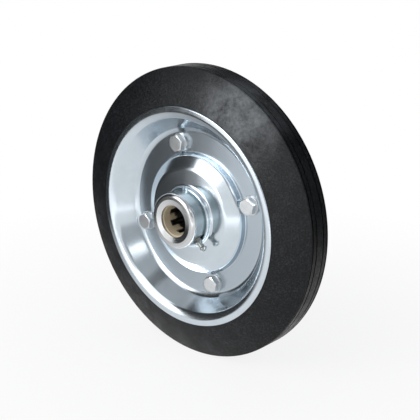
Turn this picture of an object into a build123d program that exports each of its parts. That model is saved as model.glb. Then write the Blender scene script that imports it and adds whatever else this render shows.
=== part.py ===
from build123d import *
import math
import os

# The wheel spins about Y, with its photographed side towards -Y. Every length is in millimetres.

# Rubber tyre
tyre_r = 125.0
tread_half = 10.4
tread_corner_r = 1.6
flank_bulge = 1.0
groove_width = 1.2
groove_depth = 1.0
groove_spots = (4.3, 9.0)
rubber_lip = 1.2
seat_gap = 0.1

# Pressed rim discs, bolted back to back on the middle plane
sheet = 3.0
flange_share = 0.752
flange_face = 22.4
flange_width = 8.1
flange_edge_r = 1.0
wall_run = 13.2
wall_top_bend_r = 9.0
wall_foot_bend_r = 6.0
washer_to_wall = 3.2
washer_to_dome = 0.7
dome_foot_bend_r = 0.8
dome_side_run = 1.2
dome_edge_face = 8.2
dome_edge_bend_r = 5.0
dome_crown = 1.3
neck_bend_r = 3.0
neck_height = 4.6
neck_chamfer = 1.2
neck_share = 0.547
neck_notch_r = 2.6
neck_notch_angle = 91.0

# Hub tube, and the pressed cap over each of its ends
hub_half = 34.0
hub_wall = 3.7
weld_fit = 0.05
race_chamfer = 0.6
cap_sheet = 1.2
cap_skirt = 4.2
cap_bend_r = 3.0
cap_land = 5.2
cap_dish_depth = 0.9
cap_hole_gap = 1.2

# Cage with its rollers, round a 25 mm axle
axle_r = 12.5
axle_clearance = 0.3
cage_race_gap = 0.5
cage_end_gap = 3.0
cage_chamfer = 0.5
roller_count = 8
roller_start = 30.0
roller_r = 3.0
race_clearance = 0.1
roller_axle_clearance = 0.1
roller_chamfer = 0.5
pocket_end_wall = 7.0
pocket_side_gap = 0.3
pocket_end_gap = 0.4
pocket_snap_lip = 0.5

# M8 fasteners
bolt_count = 4
bolt_start = 18.2
bolt_r = 4.0
bolt_end = 3.9
bolt_head = 5.3
bolt_across_flats = 13.0
bolt_turn = 20.0
bolt_hole_clearance = 0.5
thread_fit = 0.05
washer_r = 8.0
washer_clearance = 0.2
washer_thickness = 1.6
spring_washer_r = 7.4
spring_washer_clearance = 0.1
spring_washer_thickness = 2.0
spring_washer_split = 1.0
nut_height = 6.5

# Grease nipple, M6
nipple_to_neck = 3.8
nipple_angle = -41.0
nipple_thread_r = 2.95
nipple_tail = 3.0
nipple_across_flats = 7.0
nipple_hex_height = 3.2
nipple_neck_r = 2.2
nipple_head_r = 3.2
nipple_height = 11.2
nipple_chamber_r = 1.35
nipple_inlet_r = 0.9
nipple_ball_r = 1.2
nipple_wire_r = 0.15
nipple_lift = 0.45

# Sizes that follow from the ones above
race_r = axle_r + roller_axle_clearance + 2 * roller_r + race_clearance
hub_tube_r = race_r + hub_wall
flange_r = tyre_r * flange_share
wall_top_r = flange_r - flange_width
wall_foot_r = wall_top_r - wall_run
bolt_circle_r = wall_foot_r - washer_to_wall - washer_r
dome_foot_r = bolt_circle_r - washer_r - washer_to_dome
dome_edge_r = dome_foot_r - dome_side_run
wall_angle = math.atan2(flange_face - sheet, wall_run)
corner_shift = math.tan(wall_angle / 2)
neck_r = hub_tube_r + weld_fit + sheet
neck_end = hub_half * neck_share
dome_top_face = neck_end - neck_height
tube_half = hub_half - cap_sheet - weld_fit
cap_r = hub_tube_r + weld_fit + cap_sheet
cap_skirt_end = hub_half - cap_skirt
cap_dish_start_r = cap_r - cap_land
cap_hole_r = axle_r + cap_hole_gap
cage_r = race_r - cage_race_gap
cage_half = hub_half - cage_end_gap
axle_bore_r = axle_r + axle_clearance
roller_orbit_r = race_r - race_clearance - roller_r
pocket_r = roller_r + pocket_side_gap
pocket_half = cage_half - pocket_end_wall
pocket_mouth = 2 * (roller_r - pocket_snap_lip)
roller_half = pocket_half - pocket_end_gap
washer_bore_r = bolt_r + washer_clearance
spring_washer_bore_r = bolt_r + spring_washer_clearance
clamped = 2 * sheet + washer_thickness + spring_washer_thickness
bolt_length = clamped + nut_height + bolt_end
nipple_axial = neck_end + nipple_to_neck

os.makedirs("parts", exist_ok=True)


def keep(piece, name):
    piece.label = name
    export_step(piece, "parts/" + name + ".step")


# Tyre: a wedge-shaped foot fills the channel between the two discs.
foot_r = wall_foot_r + 3.5
flange_back = flange_face - sheet - seat_gap
wall_back_r = wall_top_r + (sheet + seat_gap) * corner_shift
foot_half = flange_back - (wall_back_r - foot_r) * math.tan(wall_angle)
flank_inner_r = flange_r + 0.15
flank_inner = flange_face - rubber_lip
flank_mid_r = (tyre_r + flank_inner_r) / 2
flank_mid = (tread_half + flank_inner) / 2 + flank_bulge
with BuildPart() as tyre:
    with BuildSketch(Plane.XY) as tyre_section:
        with BuildLine() as half_outline:
            Line((foot_r, 0), (foot_r, foot_half))
            Line((foot_r, foot_half), (wall_back_r, flange_back))
            Line((wall_back_r, flange_back), (flank_inner_r, flange_back))
            Line((flank_inner_r, flange_back), (flank_inner_r, flank_inner))
            ThreePointArc((flank_inner_r, flank_inner), (flank_mid_r, flank_mid), (tyre_r, tread_half))
            Line((tyre_r, tread_half), (tyre_r, 0))
            Line((tyre_r, 0), (foot_r, 0))
        make_face()
        seat_corner = tyre_section.vertices().sort_by_distance((wall_back_r, flange_back))[0]
        fillet(seat_corner, radius=wall_top_bend_r - sheet)
        tread_corner = tyre_section.vertices().sort_by_distance((tyre_r, tread_half))[0]
        fillet(tread_corner, radius=tread_corner_r)
        mirror(about=Plane.XZ)
        with Locations([(tyre_r, side * spot) for side in (-1, 1) for spot in groove_spots]):
            Rectangle(2 * groove_depth, groove_width, mode=Mode.SUBTRACT)
    revolve(axis=Axis.Y)
keep(tyre.part, "tyre")

# Rim disc: its outer face is drawn, and the sheet is laid behind it.
with BuildPart() as rim_disc_front:
    with BuildSketch(Plane.XY) as disc_section:
        with BuildLine() as disc_face:
            Line((neck_r, -neck_end), (neck_r, -dome_top_face))
            ThreePointArc(
                (neck_r, -dome_top_face),
                ((neck_r + dome_edge_r) / 2, -(dome_top_face + dome_edge_face) / 2 - dome_crown),
                (dome_edge_r, -dome_edge_face),
            )
            Line((dome_edge_r, -dome_edge_face), (dome_foot_r, -sheet))
            Line((dome_foot_r, -sheet), (wall_foot_r, -sheet))
            Line((wall_foot_r, -sheet), (wall_top_r, -flange_face))
            Line((wall_top_r, -flange_face), (flange_r, -flange_face))
            for bend, bend_r in (
                ((neck_r, -dome_top_face), neck_bend_r),
                ((dome_edge_r, -dome_edge_face), dome_edge_bend_r),
                ((dome_foot_r, -sheet), dome_foot_bend_r),
                ((wall_foot_r, -sheet), wall_foot_bend_r),
                ((wall_top_r, -flange_face), wall_top_bend_r),
            ):
                fillet(disc_face.vertices().sort_by_distance(bend)[0], radius=bend_r)
            offset(amount=sheet, side=Side.LEFT)
        make_face()
        fillet(disc_section.vertices().group_by(Axis.X)[-1], radius=flange_edge_r)
        fillet(disc_section.vertices().sort_by_distance((neck_r, -neck_end))[0], radius=flange_edge_r)
        chamfer(disc_section.vertices().sort_by_distance((neck_r - sheet, -neck_end))[0], length=neck_chamfer)
    revolve(axis=Axis.Y)
    with BuildSketch(Plane.XZ):
        with PolarLocations(bolt_circle_r, bolt_count, start_angle=bolt_start):
            Circle(bolt_r + bolt_hole_clearance)
    extrude(amount=2 * sheet, both=True, mode=Mode.SUBTRACT)
    notch_plane = Plane.XZ.offset(neck_end).location * Rot(Z=neck_notch_angle)
    with BuildSketch(Plane(notch_plane)):
        with Locations((neck_r - sheet / 2, 0)):
            SlotCenterToCenter(2 * neck_notch_r, 2 * neck_notch_r, rotation=90)
    extrude(amount=-neck_notch_r, mode=Mode.SUBTRACT)
keep(rim_disc_front.part, "rim_disc_front")

with BuildPart() as rim_disc_rear:
    mirror(rim_disc_front.part, about=Plane.XZ)
keep(rim_disc_rear.part, "rim_disc_rear")

# Hub tube: its bore is the race that the rollers run on.
nipple_dir = (math.cos(math.radians(nipple_angle)), 0, math.sin(math.radians(nipple_angle)))
nipple_plane = Plane(origin=(0, -nipple_axial, 0), x_dir=(0, -1, 0), z_dir=nipple_dir)
with BuildPart() as hub_tube:
    with BuildSketch(Plane.XZ):
        Circle(hub_tube_r)
        Circle(race_r, mode=Mode.SUBTRACT)
    extrude(amount=tube_half, both=True)
    rims = hub_tube.edges().filter_by(GeomType.CIRCLE).group_by(SortBy.RADIUS)
    fillet(rims[-1], radius=cap_bend_r - cap_sheet)
    chamfer(rims[0], length=race_chamfer)
    with BuildSketch(nipple_plane.offset(hub_tube_r + 1)):
        Circle(nipple_thread_r + thread_fit)
    extrude(amount=-(hub_tube_r - race_r + 3), mode=Mode.SUBTRACT)
keep(hub_tube.part, "hub_tube")

# Hub cap: a pressed ring with a skirt over the tube, dished in towards the axle.
with BuildPart() as hub_cap_front:
    with BuildSketch(Plane.XY) as cap_section:
        with BuildLine() as cap_face:
            Line((cap_r, -cap_skirt_end), (cap_r, -hub_half))
            Line((cap_r, -hub_half), (cap_dish_start_r, -hub_half))
            Line((cap_dish_start_r, -hub_half), (cap_hole_r, -hub_half + cap_dish_depth))
            fillet(cap_face.vertices().sort_by_distance((cap_r, -hub_half))[0], radius=cap_bend_r)
            fillet(cap_face.vertices().sort_by_distance((cap_dish_start_r, -hub_half))[0], radius=cap_bend_r)
            offset(amount=cap_sheet, side=Side.RIGHT)
        make_face()
    revolve(axis=Axis.Y)
keep(hub_cap_front.part, "hub_cap_front")

with BuildPart() as hub_cap_rear:
    mirror(hub_cap_front.part, about=Plane.XZ)
keep(hub_cap_rear.part, "hub_cap_rear")

# Roller cage: each pocket is open to the race and snaps round its roller on the inside.
with BuildPart() as roller_cage:
    with BuildSketch(Plane.XZ):
        Circle(cage_r)
        Circle(axle_bore_r, mode=Mode.SUBTRACT)
    extrude(amount=cage_half, both=True)
    chamfer(roller_cage.edges().filter_by(GeomType.CIRCLE), length=cage_chamfer)
    with BuildSketch(Plane.XZ):
        with PolarLocations(roller_orbit_r, roller_count, start_angle=roller_start):
            Circle(pocket_r)
        with PolarLocations(roller_orbit_r - roller_r / 2, roller_count, start_angle=roller_start):
            Rectangle(roller_r + 1, pocket_mouth)
    extrude(amount=pocket_half, both=True, mode=Mode.SUBTRACT)
keep(roller_cage.part, "roller_cage")

with BuildPart() as roller:
    Cylinder(roller_r, 2 * roller_half)
    chamfer(roller.edges().filter_by(GeomType.CIRCLE), length=roller_chamfer)
spots = PolarLocations(roller_orbit_r, roller_count, start_angle=roller_start)
for number, spot in enumerate(spots, start=1):
    keep(Plane.XZ.location * spot * roller.part, f"roller_{number}")

# Bolt, drawn with its head towards local +Z and the discs' middle plane at zero
head_seat = sheet + washer_thickness
with BuildPart() as bolt:
    with BuildSketch(Plane.XY.offset(head_seat)):
        RegularPolygon(bolt_across_flats / 2, 6, major_radius=False, rotation=bolt_turn)
    extrude(amount=bolt_head)
    with BuildSketch(Plane.XZ) as head_crown:
        corner = bolt_across_flats / math.sqrt(3) + 0.2
        face_r = bolt_across_flats / 2 * 0.93
        drop = (corner - face_r) * math.tan(math.radians(30))
        with BuildLine():
            Polyline(
                (0, head_seat),
                (corner, head_seat),
                (corner, head_seat + bolt_head - drop),
                (face_r, head_seat + bolt_head),
                (0, head_seat + bolt_head),
                close=True,
            )
        make_face()
    revolve(axis=Axis.Z, mode=Mode.INTERSECT)
    with BuildSketch(Plane.XY.offset(head_seat)):
        Circle(bolt_r)
    extrude(amount=-bolt_length)
    chamfer(bolt.edges().filter_by(GeomType.CIRCLE).sort_by(Axis.Z)[0], length=0.8)

with BuildPart() as washer:
    with BuildSketch(Plane.XY.offset(sheet)):
        Circle(washer_r)
        Circle(washer_bore_r, mode=Mode.SUBTRACT)
    extrude(amount=washer_thickness)
    chamfer(washer.faces().sort_by(Axis.Z)[-1].outer_wire().edges(), length=0.3)

with BuildPart() as spring_washer:
    with BuildSketch(Plane.XY.offset(-sheet)):
        Circle(spring_washer_r)
        Circle(spring_washer_bore_r, mode=Mode.SUBTRACT)
    extrude(amount=-spring_washer_thickness)
    slit_plane = Plane.XY.offset(-sheet - spring_washer_thickness / 2).location * Rot(X=20)
    with BuildSketch(Plane(slit_plane)):
        with Locations((spring_washer_r, 0)):
            Rectangle(2 * (spring_washer_r - spring_washer_bore_r) + 2, spring_washer_split)
    extrude(amount=spring_washer_thickness, both=True, mode=Mode.SUBTRACT)

nut_seat = -sheet - spring_washer_thickness
with BuildPart() as nut:
    with BuildSketch(Plane.XY.offset(nut_seat)):
        RegularPolygon(bolt_across_flats / 2, 6, major_radius=False)
    extrude(amount=-nut_height)
    with BuildSketch(Plane.XZ):
        with BuildLine():
            Polyline(
                (0, nut_seat),
                (face_r, nut_seat),
                (corner, nut_seat - drop),
                (corner, nut_seat - nut_height + drop),
                (face_r, nut_seat - nut_height),
                (0, nut_seat - nut_height),
                close=True,
            )
        make_face()
    revolve(axis=Axis.Z, mode=Mode.INTERSECT)
    with BuildSketch(Plane.XY.offset(nut_seat)):
        Circle(bolt_r + thread_fit)
    extrude(amount=-nut_height, mode=Mode.SUBTRACT)
    chamfer(nut.edges().filter_by(GeomType.CIRCLE).group_by(SortBy.RADIUS)[0], length=0.5)

spots = PolarLocations(bolt_circle_r, bolt_count, start_angle=bolt_start, rotate=False)
for number, spot in enumerate(spots, start=1):
    keep(Plane.XZ.location * spot * bolt.part, f"bolt_{number}")
    keep(Plane.XZ.location * spot * washer.part, f"washer_{number}")
    keep(Plane.XZ.location * spot * spring_washer.part, f"spring_washer_{number}")
    keep(Plane.XZ.location * spot * nut.part, f"nut_{number}")

# Grease nipple, drawn outwards along local Z from the hub's axis
nipple_seat = hub_tube_r + thread_fit
nipple_tip = hub_tube_r + nipple_height
inlet_cone = nipple_tip - 0.5 - (nipple_chamber_r - nipple_inlet_r)
with BuildPart() as grease_nipple:
    with BuildSketch(Plane.XZ):
        with BuildLine():
            Polyline(
                (0, nipple_seat - nipple_tail),
                (nipple_thread_r, nipple_seat - nipple_tail),
                (nipple_thread_r, nipple_seat + nipple_hex_height),
                (nipple_neck_r, nipple_seat + nipple_hex_height + 1.6),
                (nipple_neck_r, nipple_tip - 3.4),
                (nipple_head_r, nipple_tip - 2.2),
                (nipple_head_r, nipple_tip - 1.6),
                (nipple_neck_r - 0.4, nipple_tip),
                (0, nipple_tip),
                close=True,
            )
        make_face()
    revolve(axis=Axis.Z)
    with BuildSketch(Plane.XY.offset(nipple_seat)):
        RegularPolygon(nipple_across_flats / 2, 6, major_radius=False, rotation=30)
    extrude(amount=nipple_hex_height)
    with BuildSketch(Plane.XZ):
        with BuildLine():
            Polyline(
                (0, nipple_seat - nipple_tail),
                (nipple_inlet_r, nipple_seat - nipple_tail),
                (nipple_inlet_r, nipple_seat - nipple_tail + 0.8),
                (nipple_chamber_r, nipple_seat - nipple_tail + 0.8),
                (nipple_chamber_r, inlet_cone),
                (nipple_inlet_r, nipple_tip - 0.5),
                (nipple_inlet_r, nipple_tip),
                (0, nipple_tip),
                close=True,
            )
        make_face()
    revolve(axis=Axis.Z, mode=Mode.SUBTRACT)
keep(nipple_plane.location * grease_nipple.part, "grease_nipple")

# The ball closes the inlet's 45 degree cone from inside, a hair short of touching.
ball_centre = inlet_cone + nipple_chamber_r - (nipple_ball_r + 0.04) * math.sqrt(2)
with BuildPart() as nipple_ball:
    with Locations((0, 0, ball_centre)):
        Sphere(nipple_ball_r)
keep(nipple_plane.location * nipple_ball.part, "nipple_ball")

spring_foot = nipple_seat - nipple_tail + 0.8 + nipple_wire_r
spring_height = ball_centre - nipple_ball_r * 0.85 - nipple_lift - nipple_wire_r - spring_foot
with BuildPart() as nipple_spring:
    with BuildLine() as coil:
        Helix(spring_height / 5, spring_height, 0.9, center=(0, 0, spring_foot))
    with BuildSketch(Plane(origin=coil.line @ 0, z_dir=coil.line % 0)):
        Circle(nipple_wire_r)
    sweep(path=coil.line, is_frenet=True)
keep(nipple_plane.location * nipple_spring.part, "nipple_spring")
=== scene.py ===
import math

import bpy
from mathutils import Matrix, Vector


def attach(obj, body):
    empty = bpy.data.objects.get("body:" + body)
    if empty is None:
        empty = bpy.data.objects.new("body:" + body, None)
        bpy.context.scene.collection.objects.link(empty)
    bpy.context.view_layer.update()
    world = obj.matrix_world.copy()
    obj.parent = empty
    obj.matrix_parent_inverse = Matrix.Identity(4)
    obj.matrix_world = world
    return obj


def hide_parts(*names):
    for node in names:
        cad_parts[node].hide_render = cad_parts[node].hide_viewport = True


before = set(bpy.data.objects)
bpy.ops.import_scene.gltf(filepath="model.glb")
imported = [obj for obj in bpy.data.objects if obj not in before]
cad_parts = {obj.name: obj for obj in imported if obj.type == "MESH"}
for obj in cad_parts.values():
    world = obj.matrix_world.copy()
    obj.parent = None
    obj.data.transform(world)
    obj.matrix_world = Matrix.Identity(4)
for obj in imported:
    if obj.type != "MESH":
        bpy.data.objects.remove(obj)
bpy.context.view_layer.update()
bpy.ops.object.select_all(action="DESELECT")


# The tyre is one solid band of black rubber, moulded with a wedge-shaped foot, which the two
# rim discs clamp, and four fine grooves round its tread. All sizes below are in mm, and a place
# along the axle is measured from the wheel's middle plane.

MM = 0.001
tyre_r, tread_half, tread_edge = 125.0, 10.4, 1.2
lip_r, lip_y = 94.15, 21.2
flank_swell, flank_steps = 1.0, 12
foot_tip = (76.2, 2.64)
foot_bend = (87.54, 19.3, 6.0)
groove_places = (9.0, 4.3)
groove_mouth, groove_bottom, groove_depth = 0.6, 0.45, 1.0


def settle(piece):
    # Puts the piece's place, turn and size into its mesh, so that it stands at the origin.
    bpy.ops.object.select_all(action="DESELECT")
    piece.select_set(True)
    bpy.context.view_layer.objects.active = piece
    bpy.ops.object.transform_apply(location=True, rotation=True, scale=True)


def pick(piece, test, part="edges"):
    # Selects the vertices or edges whose every point passes the test, and stays in edit mode.
    bpy.ops.object.mode_set(mode="OBJECT")
    mesh = piece.data
    bpy.context.tool_settings.mesh_select_mode = (part == "vertices", part == "edges", False)
    for group in (mesh.vertices, mesh.edges, mesh.polygons):
        group.foreach_set("select", [False] * len(group))
    if part == "vertices":
        for vertex in mesh.vertices:
            vertex.select = test(vertex.co)
    else:
        for edge in mesh.edges:
            edge.select = all(test(mesh.vertices[i].co) for i in edge.vertices)
    bpy.ops.object.mode_set(mode="EDIT")


def from_axle(point):
    return math.hypot(point.x, point.z)


def on_ring(r, y, near=0.03):
    def test(point):
        return abs(from_axle(point) - r * MM) < near * MM and abs(point.y - y * MM) < near * MM
    return test


def turn_faces_out():
    # Makes the active piece's faces agree and look outwards, and leaves edit mode.
    bpy.ops.object.mode_set(mode="EDIT")
    bpy.ops.mesh.select_all(action="SELECT")
    bpy.ops.mesh.normals_make_consistent(inside=False)
    bpy.ops.object.mode_set(mode="OBJECT")


def face_rim_out(piece):
    # On an open sheet, the outermost faces look away from the axle, or forwards if they are flat.
    rim = max(piece.data.polygons, key=lambda f: from_axle(f.center))
    away = Vector((rim.center.x, 0, rim.center.z)).normalized() + Vector((0, -0.3, 0))
    if rim.normal.dot(away) < 0:
        piece.data.flip_normals()


def turned(name, rings, closed=False, steps=256):
    # Each ring is its radius, its place along the axle, and the radius of the bend at it.
    start_r, start_y = rings[0][:2]
    bpy.ops.mesh.primitive_circle_add(
        vertices=steps, radius=start_r * MM,
        location=(0, start_y * MM, 0), rotation=(math.radians(90), 0, 0),
    )
    piece = bpy.context.object
    piece.name = name
    settle(piece)
    bpy.ops.object.mode_set(mode="EDIT")
    bpy.ops.mesh.select_all(action="SELECT")
    for before, after in zip(rings, rings[1:]):
        bpy.ops.mesh.extrude_edges_move(
            TRANSFORM_OT_translate={"value": (0, (after[1] - before[1]) * MM, 0)}
        )
        grow = after[0] / before[0]
        bpy.ops.transform.resize(value=(grow, 1, grow), center_override=(0, 0, 0))
    if closed:
        bpy.ops.mesh.select_all(action="DESELECT")
        bpy.ops.mesh.select_non_manifold()
        bpy.ops.mesh.bridge_edge_loops()
    for i, ring in enumerate(rings):
        if len(ring) < 3:
            continue
        before, after = rings[i - 1], rings[(i + 1) % len(rings)]
        into = Vector((ring[0] - before[0], ring[1] - before[1]))
        out = Vector((after[0] - ring[0], after[1] - ring[1]))
        turn = into.angle(out)
        pick(piece, on_ring(ring[0], ring[1]))
        bpy.ops.mesh.bevel(
            offset_type="OFFSET",
            offset=ring[2] * math.tan(turn / 2) * MM,
            segments=max(2, math.ceil(math.degrees(turn) / 7)),
            profile=0.5,
            affect="EDGES",
            clamp_overlap=False,
        )
    turn_faces_out()
    face_rim_out(piece)
    return piece


def apply_modifier(piece, kind, **settings):
    added = piece.modifiers.new(kind.title(), kind)
    for key, value in settings.items():
        setattr(added, key, value)
    bpy.context.view_layer.objects.active = piece
    bpy.ops.object.modifier_apply(modifier=added.name)


def smooth(piece, angle=30):
    # Shades round faces smooth and leaves an edge sharp where it turns more than the angle.
    bpy.ops.object.select_all(action="DESELECT")
    piece.select_set(True)
    bpy.context.view_layer.objects.active = piece
    bpy.ops.object.shade_smooth_by_angle(angle=math.radians(angle))
    apply_modifier(piece, "WEIGHTED_NORMAL", keep_sharp=True, weight=90)
    piece.select_set(False)


def flank(share):
    # A point on the slightly swollen flank, from the lip at the rim out to the tread.
    r = lip_r + share * (tyre_r - lip_r)
    y = lip_y + share * (tread_half - lip_y) + 4 * flank_swell * share * (1 - share)
    return r, y


half = [foot_tip, foot_bend, (lip_r, foot_bend[1]), (lip_r, lip_y)]
half += [flank(i / flank_steps) for i in range(1, flank_steps)]
half += [(tyre_r, tread_half, tread_edge)]
for place in groove_places:
    half += [
        (tyre_r, place + groove_mouth),
        (tyre_r - groove_depth, place + groove_bottom),
        (tyre_r - groove_depth, place - groove_bottom),
        (tyre_r, place - groove_mouth),
    ]
front_half = [(r, -y, *bend) for r, y, *bend in half]
tyre = turned("tyre_rubber", front_half + half[::-1], closed=True)
smooth(tyre, 40)


def colour(code):
    channels = [int(code[i:i + 2], 16) / 255 for i in (1, 3, 5)]
    return [c / 12.92 if c <= 0.04045 else ((c + 0.055) / 1.055) ** 2.4 for c in channels] + [1.0]


def new_material(name):
    made = bpy.data.materials.new(name)
    made.use_nodes = True
    made.node_tree.nodes.clear()
    return made, made.node_tree


def node(tree, kind, links=None, **settings):
    made = tree.nodes.new(kind)
    for key, value in settings.items():
        if hasattr(made, key):
            setattr(made, key, value)
        else:
            made.inputs[key.replace("_", " ")].default_value = value
    for socket, source in (links or {}).items():
        tree.links.new(source, made.inputs[socket])
    return made


# Vulcanised rubber, as it left the mould: nearly black, with a fine speckled grain, a dull shine
# that clears in cloudy patches, and a grey chalky patch high on the right of the front flank,
# which is partly bloom and partly a painted sheen from the front softbox.
# The grain is drawn coarser than the real one, so that it shows.
cloud_size, patch_size, grain_size = 16.0, 3.2, 1.4
bloom_and_sheen_middle, bloom_and_sheen_reach, bloom_and_sheen_core = (53, -17, 93), 52, 4
rubber, tree = new_material("vulcanised_rubber")
place = node(tree, "ShaderNodeTexCoord").outputs["Object"]
clouds = node(
    tree, "ShaderNodeTexNoise", {"Vector": place},
    Scale=1 / (cloud_size * MM), Detail=3.0, Roughness=0.5,
)
patches = node(
    tree, "ShaderNodeTexNoise", {"Vector": place},
    Scale=1 / (patch_size * MM), Detail=7.0, Roughness=0.75,
)
grain = node(
    tree, "ShaderNodeTexNoise", {"Vector": place},
    Scale=1 / (grain_size * MM), Detail=4.0, Roughness=0.7,
)
both = node(
    tree, "ShaderNodeMath", {0: clouds.outputs["Fac"], 1: patches.outputs["Fac"]},
    operation="ADD",
)
clear = node(
    tree, "ShaderNodeMapRange", {"Value": both.outputs[0]}, From_Min=0.86, From_Max=1.2
)
specks = node(
    tree, "ShaderNodeMapRange", {"Value": grain.outputs["Fac"]}, From_Min=0.45, From_Max=0.62
)
cover = node(tree, "ShaderNodeMapRange", {"Value": clear.outputs["Result"]}, To_Min=0.55)
mottle = node(
    tree, "ShaderNodeMath", {0: specks.outputs["Result"], 1: cover.outputs["Result"]},
    operation="MULTIPLY",
)
tint = node(tree, "ShaderNodeMix", {"Factor": mottle.outputs[0]}, data_type="RGBA")
tint.inputs["A"].default_value = colour("#040506")
tint.inputs["B"].default_value = colour("#282a2f")
# Painted sheen with bloom: a grey chalky patch is mixed into the colour round a place high on the
# right of the front flank, where the front softbox's reflection falls.
from_bloom_and_sheen = node(tree, "ShaderNodeVectorMath", {0: place}, operation="DISTANCE")
from_bloom_and_sheen.inputs[1].default_value = [v * MM for v in bloom_and_sheen_middle]
bloom_and_sheen_spread = node(
    tree, "ShaderNodeMapRange", {"Value": from_bloom_and_sheen.outputs["Value"]},
    interpolation_type="SMOOTHSTEP", From_Min=bloom_and_sheen_reach * MM, From_Max=bloom_and_sheen_core * MM,
)
cloudy = node(
    tree, "ShaderNodeMapRange", {"Value": both.outputs[0]}, From_Min=0.68, From_Max=1.36
)
chalk_and_painted_sheen = node(
    tree, "ShaderNodeMath", {0: bloom_and_sheen_spread.outputs["Result"], 1: cloudy.outputs["Result"]},
    operation="MULTIPLY",
)
skin = node(
    tree, "ShaderNodeMix", {"Factor": chalk_and_painted_sheen.outputs[0], "A": tint.outputs["Result"]},
    data_type="RGBA",
)
# The grey of the chalky bloom and its painted sheen.
skin.inputs["B"].default_value = colour("#787c80")
sheen = node(
    tree, "ShaderNodeMapRange", {"Value": clear.outputs["Result"]}, To_Min=0.46, To_Max=0.3
)
relief = node(
    tree, "ShaderNodeMath", {0: both.outputs[0], 1: grain.outputs["Fac"]}, operation="ADD"
)
bump = node(
    tree, "ShaderNodeBump", {"Height": relief.outputs[0]}, Strength=0.5, Distance=0.6 * MM
)
shader = node(
    tree,
    "ShaderNodeBsdfPrincipled",
    {
        "Base Color": skin.outputs["Result"],
        "Roughness": sheen.outputs["Result"],
        "Normal": bump.outputs["Normal"],
    },
    IOR=1.52,
    Specular_IOR_Level=0.2,
)
node(tree, "ShaderNodeOutputMaterial", {"Surface": shader.outputs["BSDF"]})


def dress(piece, material, slot, body, *nodes):
    piece.data.materials.clear()
    piece.data.materials.append(material)
    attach(piece, body)
    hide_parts(*nodes)


dress(tyre, rubber, "tyre", "wheel", "tyre")


# The rim is two dished steel discs, pressed from 3 mm sheet, plated, and bolted back to back.
# Each has a flange that holds the tyre, a sloped wall, a flat web for the bolts, a domed middle
# with a flat crown, and a neck that is welded to the hub tube and notched at the top.

sheet = 3.0
neck_r, neck_end = 25.45, -18.6
web_y, web_inner_r, web_outer_r = -3.0, 52.8, 72.7
flange_r, flange_y = 94.0, -22.4
flange_rounding, neck_rounding = 0.99, 1.2
bolt_circle_r, first_bolt, bolt_hole_r = 61.5, 18.2, 4.5
notch_angle, notch_middle_r, notch_r, notch_height = 91.0, 25.0, 2.6, 7.0
disc_face = [
    (neck_r, neck_end),
    (neck_r, -14.5, 2.6),  # out of the neck into the crown
    (41.0, -14.2, 7.0),  # from the flat crown to its shoulder
    (51.5, -8.2, 4.0),  # foot of the shoulder
    (web_inner_r, web_y, 0.8),
    (web_outer_r, web_y, 6.0),
    (85.9, flange_y, 9.0),  # top of the wall
    (flange_r, flange_y),
]


def rod(r, low, high, x=0.0, z=0.0, steps=48):
    # A round bar along the axle's direction, between two places along it.
    bpy.ops.mesh.primitive_cylinder_add(
        vertices=steps, radius=r * MM, depth=(high - low) * MM,
        location=(x, (low + high) / 2 * MM, z), rotation=(math.radians(90), 0, 0),
    )
    return bpy.context.object


def cut(piece, cutter):
    bpy.ops.object.mode_set(mode="OBJECT")
    apply_modifier(piece, "BOOLEAN", operation="DIFFERENCE", object=cutter, solver="MANIFOLD")
    bpy.data.objects.remove(cutter)


def polar(r, degrees):
    return r * MM * math.cos(math.radians(degrees)), r * MM * math.sin(math.radians(degrees))


def copy_of(piece, name):
    twin = piece.copy()
    twin.data = piece.data.copy()
    twin.name = name
    bpy.context.collection.objects.link(twin)
    return twin


def mirrored(piece, name):
    # The same pressing on the far side of the wheel.
    twin = copy_of(piece, name)
    twin.scale = (1, -1, 1)
    settle(twin)
    turn_faces_out()
    return twin


disc = turned("rim_disc_front_pressed", disc_face)
apply_modifier(disc, "SOLIDIFY", thickness=sheet * MM, offset=-1.0, use_even_offset=True)
pick(disc, lambda p: abs(from_axle(p) - flange_r * MM) < 0.05 * MM)
bpy.ops.mesh.bevel(
    offset=flange_rounding * MM, segments=5, profile=0.5, affect="EDGES", clamp_overlap=True
)
pick(disc, on_ring(neck_r, neck_end))
bpy.ops.mesh.bevel(
    offset=neck_rounding * MM, segments=6, profile=0.5, affect="EDGES", clamp_overlap=False
)
pick(disc, on_ring(neck_r - sheet, neck_end, near=0.2))
bpy.ops.mesh.bevel(offset=neck_rounding * MM, segments=1, affect="EDGES", clamp_overlap=False)
bpy.ops.object.mode_set(mode="OBJECT")
for k in range(4):
    x, z = polar(bolt_circle_r, first_bolt + 90 * k)
    cut(disc, rod(bolt_hole_r, -7.5, 4.5, x, z))
x, z = polar(notch_middle_r, notch_angle)
bpy.ops.mesh.primitive_cylinder_add(
    vertices=48, radius=notch_r * MM, depth=notch_height * MM, location=(x, neck_end * MM, z)
)
cut(disc, bpy.context.object)
disc_rear = mirrored(disc, "rim_disc_rear_pressed")

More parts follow.
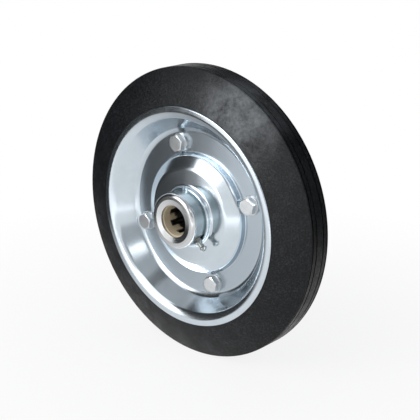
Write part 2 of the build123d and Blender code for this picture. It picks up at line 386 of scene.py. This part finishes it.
# Blue zinc plating on pressed steel: a clear bluish metal with a near-mirror shine that is
# slightly clouded, over very faint waves from the press. The web is a little darker and duller.
wave_size, mist_size = 30.0, 9.0
zinc, tree = new_material("blue_zinc_plated_steel")
place = node(tree, "ShaderNodeTexCoord").outputs["Object"]
waves = node(
    tree, "ShaderNodeTexNoise", {"Vector": place},
    Scale=1 / (wave_size * MM), Detail=1.0, Roughness=0.4,
)
mist = node(
    tree, "ShaderNodeTexNoise", {"Vector": place},
    Scale=1 / (mist_size * MM), Detail=4.0, Roughness=0.55,
)
tint = node(tree, "ShaderNodeMix", {"Factor": mist.outputs["Fac"]}, data_type="RGBA")
tint.inputs["A"].default_value = colour("#c4ced6")
tint.inputs["B"].default_value = colour("#d2dbe2")
flat = node(tree, "ShaderNodeVectorMath", {0: place}, operation="MULTIPLY")
flat.inputs[1].default_value = (1, 0, 1)
radius = node(tree, "ShaderNodeVectorMath", {0: flat.outputs["Vector"]}, operation="LENGTH")
inner = node(
    tree, "ShaderNodeMapRange", {"Value": radius.outputs["Value"]},
    interpolation_type="SMOOTHSTEP", From_Min=51.5 * MM, From_Max=54.0 * MM,
)
outer = node(
    tree, "ShaderNodeMapRange", {"Value": radius.outputs["Value"]},
    interpolation_type="SMOOTHSTEP", From_Min=75.0 * MM, From_Max=68.0 * MM,
)
web = node(
    tree, "ShaderNodeMath", {0: inner.outputs["Result"], 1: outer.outputs["Result"]},
    operation="MULTIPLY",
)
dull = node(
    tree, "ShaderNodeMix", {"Factor": web.outputs[0], "A": tint.outputs["Result"]},
    data_type="RGBA",
)
dull.inputs["B"].default_value = colour("#abb5bd")
gloss = node(
    tree, "ShaderNodeMapRange", {"Value": mist.outputs["Fac"]}, To_Min=0.14, To_Max=0.19
)
shine = node(
    tree, "ShaderNodeMath", {0: web.outputs[0], 2: gloss.outputs["Result"]},
    operation="MULTIPLY_ADD",
)
shine.inputs[1].default_value = 0.08
bump = node(
    tree, "ShaderNodeBump", {"Height": waves.outputs["Fac"]}, Strength=0.1, Distance=1.5 * MM
)
shader = node(
    tree,
    "ShaderNodeBsdfPrincipled",
    {
        "Base Color": dull.outputs["Result"],
        "Roughness": shine.outputs[0],
        "Normal": bump.outputs["Normal"],
    },
    Metallic=1.0,
)
node(tree, "ShaderNodeOutputMaterial", {"Surface": shader.outputs["BSDF"]})
for piece, cad in ((disc, "rim_disc_front"), (disc_rear, "rim_disc_rear")):
    smooth(piece, 30)
    dress(piece, zinc, "zinc_plated_steel", "wheel", cad)


# The hub tube is drawn steel. It runs through both discs, welded to their necks, and its bore is
# the race of the rollers. A tapped hole between the front neck and the cap takes the nipple.

race_r, tube_r, tube_half, tube_rounding = 18.7, 22.4, 32.75, 1.8
nipple_angle, nipple_y = -41.0, -22.398
tapped_hole_r, tapped_hole_depth = 3.0, 9.0
tube = turned(
    "hub_tube_drawn",
    [
        (race_r, -tube_half),
        (tube_r, -tube_half, tube_rounding),
        (tube_r, tube_half, tube_rounding),
        (race_r, tube_half),
    ],
    closed=True,
)
x, z = polar(22.0, nipple_angle)
bpy.ops.mesh.primitive_cylinder_add(
    vertices=48, radius=tapped_hole_r * MM, depth=tapped_hole_depth * MM,
    location=(x, nipple_y * MM, z), rotation=(0, math.radians(90 - nipple_angle), 0),
)
cut(tube, bpy.context.object)
smooth(tube, 30)

# Zinc on a drawn tube: duller than on the discs, with fine lines round it from the drawing.
line_length, line_squeeze = 6.0, 9.0
tube_zinc, tree = new_material("dull_zinc_drawn_tube")
place = node(tree, "ShaderNodeTexCoord").outputs["Object"]
squeezed = node(tree, "ShaderNodeMapping", {"Vector": place}, Scale=(1.0, line_squeeze, 1.0))
lines = node(
    tree, "ShaderNodeTexNoise", {"Vector": squeezed.outputs["Vector"]},
    Scale=1 / (line_length * MM), Detail=4.0,
)
tint = node(tree, "ShaderNodeMix", {"Factor": lines.outputs["Fac"]}, data_type="RGBA")
tint.inputs["A"].default_value = colour("#aab7bc")
tint.inputs["B"].default_value = colour("#c0ccd0")
shine = node(
    tree, "ShaderNodeMapRange", {"Value": lines.outputs["Fac"]}, To_Min=0.26, To_Max=0.38
)
shader = node(
    tree,
    "ShaderNodeBsdfPrincipled",
    {"Base Color": tint.outputs["Result"], "Roughness": shine.outputs["Result"]},
    Metallic=1.0,
)
node(tree, "ShaderNodeOutputMaterial", {"Surface": shader.outputs["BSDF"]})
dress(tube, tube_zinc, "zinc_plated_steel", "wheel", "hub_tube")


# A thin pressed steel cap fits over each end of the hub tube. It has a rolled shoulder, and its
# face dips towards the axle and keeps the roller cage in.

cap_sheet, cap_rounding, cap_edge = 1.2, 3.0, 0.3
cap_r, cap_skirt_end, cap_face = 23.65, -29.8, -34.0
cap_hole_r, cap_hole_y = 13.7, -33.1
cap = turned(
    "hub_cap_front_pressed",
    [
        (cap_r, cap_skirt_end),
        (cap_r, cap_face, cap_rounding),
        (18.45, cap_face, cap_rounding),
        (cap_hole_r, cap_hole_y),
    ],
)
apply_modifier(cap, "SOLIDIFY", thickness=cap_sheet * MM, offset=-1.0, use_even_offset=True)
pick(cap, lambda p: from_axle(p) < (cap_hole_r + 0.5) * MM)
bpy.ops.mesh.bevel(
    offset=cap_edge * MM, segments=3, profile=0.5, affect="EDGES", clamp_overlap=True
)
bpy.ops.object.mode_set(mode="OBJECT")
cap_rear = mirrored(cap, "hub_cap_rear_pressed")

# Satin zinc on the caps: neutral and even, with a soft mirror shine.
mist_size = 5.0
cap_zinc, tree = new_material("satin_zinc_plated_cap")
place = node(tree, "ShaderNodeTexCoord").outputs["Object"]
mist = node(
    tree, "ShaderNodeTexNoise", {"Vector": place},
    Scale=1 / (mist_size * MM), Detail=3.0, Roughness=0.5,
)
tint = node(tree, "ShaderNodeMix", {"Factor": mist.outputs["Fac"]}, data_type="RGBA")
tint.inputs["A"].default_value = colour("#c9cbcd")
tint.inputs["B"].default_value = colour("#d0d2d3")
shine = node(
    tree, "ShaderNodeMapRange", {"Value": mist.outputs["Fac"]}, To_Min=0.12, To_Max=0.17
)
shader = node(
    tree,
    "ShaderNodeBsdfPrincipled",
    {"Base Color": tint.outputs["Result"], "Roughness": shine.outputs["Result"]},
    Metallic=1.0,
)
node(tree, "ShaderNodeOutputMaterial", {"Surface": shader.outputs["BSDF"]})
for piece, cad in ((cap, "hub_cap_front"), (cap_rear, "hub_cap_rear")):
    smooth(piece, 30)
    dress(piece, cap_zinc, "zinc_plated_steel", "wheel", cad)


# The roller cage is moulded in one piece of natural nylon, with a solid ring at each end and
# eight long pockets. Each pocket opens to the axle by a mouth narrower than its roller.

roller_circle_r, first_roller = 15.6, 30.0
cage_half, cage_bore_r, cage_outer_r, cage_rounding = 31.0, 12.8, 18.2, 0.5
pocket_r, pocket_half = 3.3, 24.0
mouth_r, mouth_deep, mouth_wide = 13.6, 4.0, 5.0
cage = turned(
    "roller_cage_moulded",
    [
        (cage_bore_r, -cage_half),
        (cage_outer_r, -cage_half, cage_rounding),
        (cage_outer_r, cage_half, cage_rounding),
        (cage_bore_r, cage_half),
    ],
    closed=True,
    steps=144,
)
pick(
    cage,
    lambda p: from_axle(p) < (cage_bore_r + 0.1) * MM
    and abs(abs(p.y) - cage_half * MM) < 0.1 * MM,
)
bpy.ops.mesh.bevel(offset=cage_rounding * MM, segments=2, affect="EDGES", clamp_overlap=False)
for k in range(8):
    angle = first_roller + 45 * k
    bpy.ops.object.mode_set(mode="OBJECT")
    x, z = polar(roller_circle_r, angle)
    cut(cage, rod(pocket_r, -pocket_half, pocket_half, x, z, steps=40))
    x, z = polar(mouth_r, angle)
    bpy.ops.mesh.primitive_cube_add(
        size=1, location=(x, 0, z), rotation=(0, -math.radians(angle), 0),
        scale=(mouth_deep * MM, 2 * pocket_half * MM, mouth_wide * MM),
    )
    cut(cage, bpy.context.object)
smooth(cage, 30)

# Natural nylon: a warm cream plastic with a soft moulded shine, and painted shade that turns it
# black deeper in the bore.
cloud_size = 4.0
bore_shade_starts, bore_shade_covers = 27.5, 23.5
nylon, tree = new_material("natural_nylon")
place = node(tree, "ShaderNodeTexCoord").outputs["Object"]
clouds = node(
    tree, "ShaderNodeTexNoise", {"Vector": place}, Scale=1 / (cloud_size * MM), Detail=3.0
)
tint = node(tree, "ShaderNodeMix", {"Factor": clouds.outputs["Fac"]}, data_type="RGBA")
tint.inputs["A"].default_value = colour("#cfc0a3")
tint.inputs["B"].default_value = colour("#dccfb6")
along = node(tree, "ShaderNodeSeparateXYZ", {"Vector": place})
depth = node(tree, "ShaderNodeMath", {0: along.outputs["Y"]}, operation="ABSOLUTE")
# The noise moves the painted shade's edge in and out: distance from the middle times 1 + noise.
ragged = node(
    tree, "ShaderNodeMath",
    {0: clouds.outputs["Fac"], 1: depth.outputs[0], 2: depth.outputs[0]},
    operation="MULTIPLY_ADD",
)
# Painted shade: the nylon goes near black towards the middle of the bore, where shadow falls.
bore_shade = node(
    tree, "ShaderNodeMapRange", {"Value": ragged.outputs[0]},
    From_Min=bore_shade_starts * MM, From_Max=bore_shade_covers * MM,
)
bore_shaded = node(
    tree, "ShaderNodeMix", {"Factor": bore_shade.outputs["Result"], "A": tint.outputs["Result"]},
    data_type="RGBA",
)
# The near black of the painted shade in the bore.
bore_shaded.inputs["B"].default_value = colour("#0b0a08")
shader = node(
    tree,
    "ShaderNodeBsdfPrincipled",
    {"Base Color": bore_shaded.outputs["Result"]},
    Roughness=0.45,
    IOR=1.53,
)
node(tree, "ShaderNodeOutputMaterial", {"Surface": shader.outputs["BSDF"]})
dress(cage, nylon, "cage_nylon", "cage", "roller_cage")


# Eight plain rollers of hardened steel, ground round, with chamfered ends. They snap into the
# cage's pockets and run between the axle and the hub tube's bore.

roller_r, roller_half, roller_chamfer = 3.0, 23.6, 0.5

# Ground bearing steel: dark and even, wet with grease.
film_size = 3.0
bearing, tree = new_material("ground_bearing_steel")
place = node(tree, "ShaderNodeTexCoord").outputs["Object"]
film = node(
    tree, "ShaderNodeTexNoise", {"Vector": place}, Scale=1 / (film_size * MM), Detail=3.0
)
tint = node(tree, "ShaderNodeMix", {"Factor": film.outputs["Fac"]}, data_type="RGBA")
tint.inputs["A"].default_value = colour("#5f5f5d")
tint.inputs["B"].default_value = colour("#83827e")
shine = node(
    tree, "ShaderNodeMapRange", {"Value": film.outputs["Fac"]}, To_Min=0.16, To_Max=0.3
)
shader = node(
    tree,
    "ShaderNodeBsdfPrincipled",
    {"Base Color": tint.outputs["Result"], "Roughness": shine.outputs["Result"]},
    Metallic=1.0,
)
node(tree, "ShaderNodeOutputMaterial", {"Surface": shader.outputs["BSDF"]})
for k in range(8):
    x, z = polar(roller_circle_r, first_roller + 45 * k)
    roller = rod(roller_r, -roller_half, roller_half, x, z)
    roller.name = f"roller_{k + 1}_ground"
    settle(roller)
    pick(roller, lambda p: abs(abs(p.y) - roller_half * MM) < 0.01 * MM)
    bpy.ops.mesh.bevel(
        offset=roller_chamfer * MM, segments=3, affect="EDGES", clamp_overlap=False
    )
    bpy.ops.object.mode_set(mode="OBJECT")
    smooth(roller, 40)
    dress(roller, bearing, "roller_steel", f"roller_{k + 1}_body", f"roller_{k + 1}")


# Four zinc-plated M8 screws hold the discs together. Each has a flat washer under its
# cold-forged hexagon head, and a split spring washer and a nut on the far side.

across_flats, end_share, corner_spare = 13.0, 0.93, 0.5
head_top, head_seat, head_turn = -9.9, -4.6, 20.0
screw_r, plain_end, screw_end = 4.0, 6.5, 15.4
thread_pitch, thread_root_r, thread_start, thread_turns = 1.25, 3.4, 4.0, 11
washer_r, spring_washer_r, split_width, split_slant = 8.0, 7.4, 1.0, -20.0
nut_low, nut_high = 5.0, 11.5
tip = 0.001  # radius of a ring that is to close to a point on the axis


def close_tips(piece):
    # Brings the tiny rings on the axis to points, so that the shape is closed.
    pick(piece, lambda p: from_axle(p) < 0.01 * MM, "vertices")
    bpy.ops.mesh.remove_doubles(threshold=0.01 * MM)
    turn_faces_out()


def hexagon(name, flats, low, high, turn, crowned_low, crowned_high):
    # A hexagon bar between two places along the axle, with its corners turned off at 30 degrees
    # at each crowned end.
    corner = flats / math.sqrt(3)
    bar = rod(corner, low, high, steps=6)
    bar.name = name
    settle(bar)
    turn_faces_out()
    first = bar.data.vertices[0].co
    now = math.degrees(math.atan2(first.z, first.x))
    bar.rotation_euler = (0, -math.radians(turn - now), 0)
    settle(bar)
    face = flats / 2 * end_share
    wide = corner + corner_spare
    drop = (wide - face) * math.tan(math.radians(30))
    under = low if crowned_low else low - 0.1
    over = high if crowned_high else high + 0.1
    rings = [(tip, under)]
    rings += [(face, low), (wide, low + drop)] if crowned_low else [(wide, under)]
    rings += [(wide, high - drop), (face, high)] if crowned_high else [(wide, over)]
    rings += [(tip, over)]
    crown = turned("crown", rings, steps=96)
    close_tips(crown)
    apply_modifier(bar, "BOOLEAN", operation="INTERSECT", object=crown, solver="MANIFOLD")
    bpy.data.objects.remove(crown)
    return bar


screw = hexagon(
    "screw", across_flats, head_top, head_seat, head_turn, crowned_low=True, crowned_high=False
)
shank = turned(
    "screw_shank",
    [(tip, -5.5), (screw_r, -5.5), (screw_r, plain_end), (tip, plain_end)],
    steps=48,
)
close_tips(shank)

# The thread is one pitch of its outline wound up the screw, and trimmed to the screw's end.
bpy.ops.mesh.primitive_plane_add(
    size=1 * MM, location=(thread_root_r * MM, thread_start * MM, 0)
)
thread = bpy.context.object
thread.name = "screw_thread"
settle(thread)
bpy.ops.object.mode_set(mode="EDIT")
bpy.ops.mesh.select_all(action="SELECT")
bpy.ops.mesh.merge(type="CENTER")
for out, up in ((0.6, 0.5), (0.0, 0.12), (-0.6, 0.5), (0.0, 0.13)):
    bpy.ops.mesh.extrude_vertices_move(TRANSFORM_OT_translate={"value": (out * MM, up * MM, 0)})
bpy.ops.object.mode_set(mode="OBJECT")
apply_modifier(
    thread, "SCREW", axis="Y", angle=2 * math.pi, screw_offset=thread_pitch * MM,
    iterations=thread_turns, steps=36, render_steps=36,
    use_merge_vertices=True, merge_threshold=0.01 * MM,
)
bpy.ops.object.mode_set(mode="EDIT")
bpy.ops.mesh.select_all(action="SELECT")
bpy.ops.mesh.remove_doubles(threshold=0.01 * MM)
bpy.ops.mesh.select_all(action="DESELECT")
bpy.ops.mesh.select_non_manifold()
bpy.ops.mesh.edge_face_add()
turn_faces_out()
trim = turned(
    "thread_trim",
    [(tip, 6.0), (screw_r, 6.0), (screw_r, screw_end - 0.8), (3.2, screw_end), (tip, screw_end)],
    steps=48,
)
close_tips(trim)
apply_modifier(thread, "BOOLEAN", operation="INTERSECT", object=trim, solver="MANIFOLD")
bpy.data.objects.remove(trim)
for whole, added in ((shank, thread), (screw, shank)):
    apply_modifier(whole, "BOOLEAN", operation="UNION", object=added, solver="MANIFOLD")
    bpy.data.objects.remove(added)

washer = turned(
    "washer_flat",
    [(4.2, web_y), (washer_r, web_y), (washer_r, head_seat, 0.3), (4.2, head_seat)],
    closed=True,
    steps=96,
)
spring_washer = turned(
    "washer_split",
    [(4.1, -web_y), (spring_washer_r, -web_y), (spring_washer_r, nut_low), (4.1, nut_low)],
    closed=True,
    steps=96,
)
bpy.ops.mesh.primitive_cube_add(
    size=1, location=(6.4 * MM, 4.0 * MM, 0), rotation=(math.radians(split_slant), 0, 0),
    scale=(7 * MM, 8 * MM, split_width * MM),
)
cut(spring_washer, bpy.context.object)
nut = hexagon(
    "nut_hexagon", across_flats, nut_low, nut_high, 0.0, crowned_low=True, crowned_high=True
)
cut(nut, rod(screw_r + 0.05, -2.0, 18.0))

# Zinc on tumbled fasteners: neutral and satin, with a surface that breaks its reflections.
mist_size = 2.2
fastener_zinc, tree = new_material("zinc_plated_fastener_steel")
place = node(tree, "ShaderNodeTexCoord").outputs["Object"]
mist = node(
    tree, "ShaderNodeTexNoise", {"Vector": place},
    Scale=1 / (mist_size * MM), Detail=3.0, Roughness=0.5,
)
tint = node(tree, "ShaderNodeMix", {"Factor": mist.outputs["Fac"]}, data_type="RGBA")
tint.inputs["A"].default_value = colour("#c6c9cb")
tint.inputs["B"].default_value = colour("#d6d9db")
shine = node(
    tree, "ShaderNodeMapRange", {"Value": mist.outputs["Fac"]}, To_Min=0.26, To_Max=0.36
)
bump = node(
    tree, "ShaderNodeBump", {"Height": mist.outputs["Fac"]}, Strength=0.25, Distance=0.4 * MM
)
shader = node(
    tree,
    "ShaderNodeBsdfPrincipled",
    {
        "Base Color": tint.outputs["Result"],
        "Roughness": shine.outputs["Result"],
        "Normal": bump.outputs["Normal"],
    },
    Metallic=1.0,
)
node(tree, "ShaderNodeOutputMaterial", {"Surface": shader.outputs["BSDF"]})
for k in range(4):
    x, z = polar(bolt_circle_r, first_bolt + 90 * k)
    for source, name, cad in (
        (screw, "bolt", "bolt"),
        (washer, "flat_washer", "washer"),
        (spring_washer, "split_washer", "spring_washer"),
        (nut, "hexagon_nut", "nut"),
    ):
        piece = copy_of(source, f"{name}_{k + 1}_zinc")
        piece.location = (x, 0, z)
        settle(piece)
        smooth(piece, 25)
        dress(piece, fastener_zinc, "zinc_plated_fasteners", "wheel", f"{cad}_{k + 1}")
for source in (screw, washer, spring_washer, nut):
    bpy.data.objects.remove(source)


# The grease nipple screws into the hub tube beside the front cap. It is turned from steel bar,
# with a hexagon for the spanner and a waisted head for the grease gun. A ball on a spring closes
# its mouth. It is drawn along the axle first, by its distance from the hub's axis.

thread_end, hexagon_seat, hexagon_top, nipple_top = 19.45, 22.45, 25.65, 33.6
nipple_thread_r, waist_r, button_r = 2.95, 2.2, 3.2
inlet_r, chamber_r = 0.9, 1.35
nipple = turned(
    "grease_nipple_turned",
    [
        (inlet_r, thread_end),
        (nipple_thread_r, thread_end),
        (nipple_thread_r, hexagon_top),
        (waist_r, 27.25),
        (waist_r, 30.2),
        (button_r, 31.4, 0.3),
        (button_r, 32.0, 0.2),
        (1.8, nipple_top, 0.3),
        (inlet_r, nipple_top),
        (inlet_r, 33.1),
        (chamber_r, 32.65),
        (chamber_r, 20.25),
        (inlet_r, 20.25),
    ],
    closed=True,
    steps=64,
)
spanner_hexagon = hexagon(
    "nipple_hexagon", 7.0, hexagon_seat, hexagon_top, 30.0, crowned_low=False, crowned_high=True
)
cut(spanner_hexagon, rod(2.4, 20.0, 28.0, steps=64))
apply_modifier(
    nipple, "BOOLEAN", operation="UNION", object=spanner_hexagon, solver="MANIFOLD"
)
bpy.data.objects.remove(spanner_hexagon)
nipple.rotation_euler = (0, 0, math.radians(-90))
settle(nipple)
nipple.rotation_euler = (0, math.radians(-nipple_angle), 0)
nipple.location = (0, nipple_y * MM, 0)
settle(nipple)
smooth(nipple, 25)

# Bright zinc on turned steel: nearly a mirror, broken by fine turning lines.
line_size = 1.2
turned_zinc, tree = new_material("bright_zinc_turned_steel")
place = node(tree, "ShaderNodeTexCoord").outputs["Object"]
lines = node(
    tree, "ShaderNodeTexNoise", {"Vector": place}, Scale=1 / (line_size * MM), Detail=3.0
)
tint = node(tree, "ShaderNodeMix", {"Factor": lines.outputs["Fac"]}, data_type="RGBA")
tint.inputs["A"].default_value = colour("#7d8281")
tint.inputs["B"].default_value = colour("#a9adab")
shine = node(
    tree, "ShaderNodeMapRange", {"Value": lines.outputs["Fac"]}, To_Min=0.07, To_Max=0.14
)
shader = node(
    tree,
    "ShaderNodeBsdfPrincipled",
    {"Base Color": tint.outputs["Result"], "Roughness": shine.outputs["Result"]},
    Metallic=1.0,
)
node(tree, "ShaderNodeOutputMaterial", {"Surface": shader.outputs["BSDF"]})
dress(nipple, turned_zinc, "zinc_plated_fasteners", "wheel", "grease_nipple")
for name in ("nipple_ball", "nipple_spring"):
    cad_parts[name].data.materials.clear()
    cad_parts[name].data.materials.append(bearing)


# The wheel stands on a white table top. The top looks plain white to the camera and keeps the
# wheel's shadow. Shiny metal sees it with a painted shade at the near left and painted light in
# front.

table_size, table_gap = 6.0, 0.2
bpy.ops.mesh.primitive_plane_add(size=table_size, location=(0, 0, -(tyre_r + table_gap) * MM))
table = bpy.context.object
table.name = "white_table"
settle(table)
white, tree = new_material("white_table_top")
place = node(tree, "ShaderNodeTexCoord").outputs["Object"]
away = node(tree, "ShaderNodeVectorMath", {0: place}, operation="LENGTH")
far = node(
    tree, "ShaderNodeMapRange", {"Value": away.outputs["Value"]},
    From_Min=0.15, From_Max=0.45, To_Min=0.85,
)
paths = node(tree, "ShaderNodeLightPath")
shiny = node(
    tree, "ShaderNodeMath",
    {0: paths.outputs["Is Glossy Ray"], 1: paths.outputs["Is Transmission Ray"]},
)
seen = node(
    tree, "ShaderNodeMath", {0: paths.outputs["Is Camera Ray"], 1: shiny.outputs[0]},
    use_clamp=True,
)
share = node(
    tree, "ShaderNodeMath", {0: seen.outputs[0], 1: far.outputs["Result"]},
    operation="MULTIPLY",
)
paper = node(tree, "ShaderNodeBsdfDiffuse", Color=colour("#f2f2f2"))
spot = node(tree, "ShaderNodeSeparateXYZ", {"Vector": place})
# Painted shade and painted light that only shiny surfaces see: the table goes darker towards the
# near left, where the black card would shade it, and brighter in front of the wheel.
leftwards = node(tree, "ShaderNodeVectorMath", {0: place}, operation="DOT_PRODUCT")
leftwards.inputs[1].default_value = (-1.0, 0.5, 0.0)
painted_shade_amount = node(
    tree, "ShaderNodeMapRange", {"Value": leftwards.outputs["Value"]},
    From_Min=0.03, From_Max=0.2, To_Max=-0.7,
)
near = node(
    tree, "ShaderNodeMapRange", {"Value": spot.outputs["Y"]}, From_Min=-0.35, From_Max=-0.25
)
shade = node(
    tree, "ShaderNodeMath", {0: painted_shade_amount.outputs["Result"], 1: near.outputs["Result"]},
    operation="MULTIPLY",
)
painted_light_amount = node(
    tree, "ShaderNodeMapRange", {"Value": spot.outputs["Y"]},
    From_Min=-0.3, From_Max=-0.6, To_Max=0.8,
)
reach = node(
    tree, "ShaderNodeMapRange", {"Value": spot.outputs["Y"]}, From_Min=-0.95, From_Max=-0.75
)
change = node(
    tree, "ShaderNodeMath",
    {0: painted_light_amount.outputs["Result"], 1: reach.outputs["Result"], 2: shade.outputs[0]},
    operation="MULTIPLY_ADD",
)
level = node(
    tree, "ShaderNodeMath", {0: change.outputs[0], 1: shiny.outputs[0]},
    operation="MULTIPLY_ADD",
)
level.inputs[2].default_value = 1.0
glow = node(
    tree, "ShaderNodeEmission", {"Strength": level.outputs[0]}, Color=colour("#ffffff")
)
blend = node(
    tree, "ShaderNodeMixShader", {0: share.outputs[0], 1: paper.outputs[0], 2: glow.outputs[0]}
)
node(tree, "ShaderNodeOutputMaterial", {"Surface": blend.outputs[0]})
table.data.materials.append(white)

# The room is a soft grey light, and white where the camera or shiny metal looks past the table.
scene = bpy.context.scene
world = bpy.data.worlds.new("studio")
scene.world = world
world.use_nodes = True
tree = world.node_tree
tree.nodes.clear()
paths = node(tree, "ShaderNodeLightPath")
shiny = node(
    tree, "ShaderNodeMath",
    {0: paths.outputs["Is Glossy Ray"], 1: paths.outputs["Is Transmission Ray"]},
)
seen = node(
    tree, "ShaderNodeMath", {0: paths.outputs["Is Camera Ray"], 1: shiny.outputs[0]},
    use_clamp=True,
)
room = node(tree, "ShaderNodeBackground", Color=colour("#e6eaee"), Strength=0.5)
backdrop = node(tree, "ShaderNodeBackground", Color=colour("#ffffff"), Strength=1.0)
blend = node(
    tree, "ShaderNodeMixShader", {0: seen.outputs[0], 1: room.outputs[0], 2: backdrop.outputs[0]}
)
node(tree, "ShaderNodeOutputWorld", {"Surface": blend.outputs[0]})


# Cloth cards stand and hang out of the picture for the metal to reflect: black ones at the left,
# overhead and behind, and grey ones at the right, at the left behind and for a ceiling. Only
# shiny surfaces see them. Their places are in metres from the wheel's middle.

table_y, black, grey = -0.125, 0.045, 0.5


def heading(azimuth, elevation, distance):
    # Degrees round from +X and up from level, and metres from the hub.
    a, e = math.radians(azimuth), math.radians(elevation)
    return Vector((math.cos(a) * math.cos(e), math.sin(a) * math.cos(e), math.sin(e))) * distance


def finish_card(card, name, level):
    # Gives the card its cloth, glowing at a level, and hides it from all but shiny surfaces.
    card.name = name
    settle(card)
    cloth, tree = new_material(name + "_cloth")
    glow = node(tree, "ShaderNodeEmission", Color=colour("#f8fcff"), Strength=level)
    node(tree, "ShaderNodeOutputMaterial", {"Surface": glow.outputs[0]})
    card.data.materials.append(cloth)
    card.visible_camera = False
    card.visible_diffuse = False
    card.visible_shadow = False


def standing_card(name, start, end, top, level):
    # Stands on the table between two places on its plan.
    run = Vector((end[0] - start[0], end[1] - start[1]))
    bpy.ops.mesh.primitive_plane_add(
        size=1,
        location=((start[0] + end[0]) / 2, (start[1] + end[1]) / 2, (table_y + top) / 2),
        rotation=(math.radians(90), 0, math.atan2(run.y, run.x)),
    )
    card = bpy.context.object
    card.scale = (run.length, top - table_y, 1)
    finish_card(card, name, level)


def facing_card(name, place, size, level):
    # Hangs at a place and faces the wheel.
    bpy.ops.mesh.primitive_plane_add(size=1, location=place)
    card = bpy.context.object
    card.scale = (*size, 1)
    card.rotation_euler = (-Vector(place)).to_track_quat("Z", "Y").to_euler()
    finish_card(card, name, level)


standing_card("card_left", (-0.243, -0.3105), (-0.52, 0.135), 0.38, black)
standing_card("card_behind", (0.405, 0.083), (0.183, 0.285), 0.3, black)
facing_card("card_over", (0.11, -0.306, 0.85), (0.27, 0.27), 0.12)
facing_card("card_high_behind", heading(90, 33, 1.5), (2.5, 1.35), 0.06)
facing_card("card_right", heading(318, 36, 1.6), (1.7, 1.5), grey)
facing_card("card_back_left", heading(163, 32, 1.6), (1.3, 1.5), 0.68)
bpy.ops.mesh.primitive_plane_add(size=4, location=(0, 0, 1.7))
finish_card(bpy.context.object, "grey_ceiling", 0.45)


# Soft studio lamps stand in front of the wheel, at its right and above it, and the camera is at
# the right of the photographed side, a little above it.


def softbox(name, place, size, watts):
    light = bpy.data.lights.new(name, "AREA")
    light.shape = "RECTANGLE"
    light.size, light.size_y = size
    light.energy = watts
    lamp = bpy.data.objects.new(name, light)
    bpy.context.collection.objects.link(lamp)
    lamp.location = place
    lamp.rotation_euler = (-place).to_track_quat("-Z", "Y").to_euler()


softbox("softbox_front", heading(249, 18, 1.3), (0.4, 0.5), 4.5)
softbox("softbox_front_edge", heading(250, 16, 1.32), (0.86, 0.84), 4.0)
softbox("softbox_right", heading(328, 38, 1.3), (0.3, 0.3), 0.6)
softbox("softbox_top", heading(257, 46, 1.3), (1.05, 0.75), 3.0)

looks_down, looks_left = 18.0969, 41.9198
camera = bpy.data.objects.new("camera", bpy.data.cameras.new("camera"))
bpy.context.collection.objects.link(camera)
camera.location = (0.54432, -0.59382, 0.26512)
camera.rotation_euler = (math.radians(90 - looks_down), 0, math.radians(looks_left))
camera.data.sensor_width = 36
camera.data.lens = 85.714
scene.camera = camera
scene.view_settings.view_transform = "Standard"
